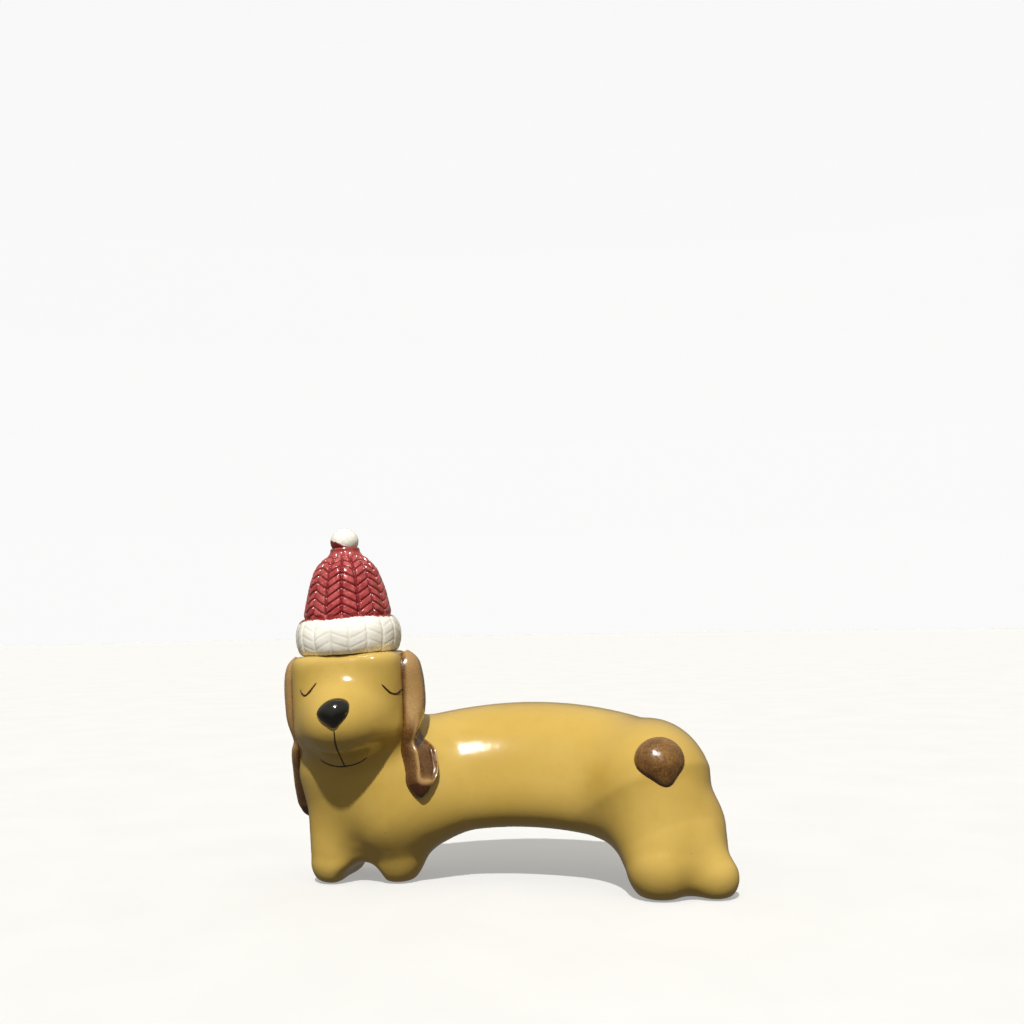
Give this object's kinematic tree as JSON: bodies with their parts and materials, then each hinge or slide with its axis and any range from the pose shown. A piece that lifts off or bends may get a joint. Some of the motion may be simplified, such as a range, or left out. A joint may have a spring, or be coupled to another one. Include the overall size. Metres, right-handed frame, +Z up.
{
  "type": "ceramic dog figurine",
  "caption": "Free-standing glazed ceramic dog ornament: long bowed body on four paws, face and tail to the front, drooping ears and a knitted hat with pompom.",
  "frame": {"origin": "centre of the bounding box in X and Y, on the surface the dog stands on", "axes": "+X along the body from head to rump, -Y the way the face looks, +Z up"},
  "size_m": [0.2021, 0.1015, 0.159],
  "materials": {
    "ochre_glaze": "glossy transparent ochre glaze over cream earthenware",
    "brown_glaze": "glossy brown glaze with fine bronze speckle, thinner and lighter on raised edges",
    "black_glaze": "high gloss black glaze",
    "line_enamel": "thin dark brown brush-drawn enamel",
    "red_glaze": "glossy red glaze, darker where it pools in the knitted grooves",
    "white_glaze": "satin white glaze"
  },
  "bodies": {
    "root": {"body_shell": "ochre_glaze", "head_shell": "ochre_glaze", "ear_left": "brown_glaze", "ear_right": "brown_glaze", "nose": "black_glaze", "tail": "brown_glaze", "eyelid_left": "line_enamel", "eyelid_right": "line_enamel", "mouth_line": "line_enamel", "hat_crown": "red_glaze", "hat_cuff": "white_glaze", "hat_pompom": "white_glaze"}
  },
  "joints": []
}
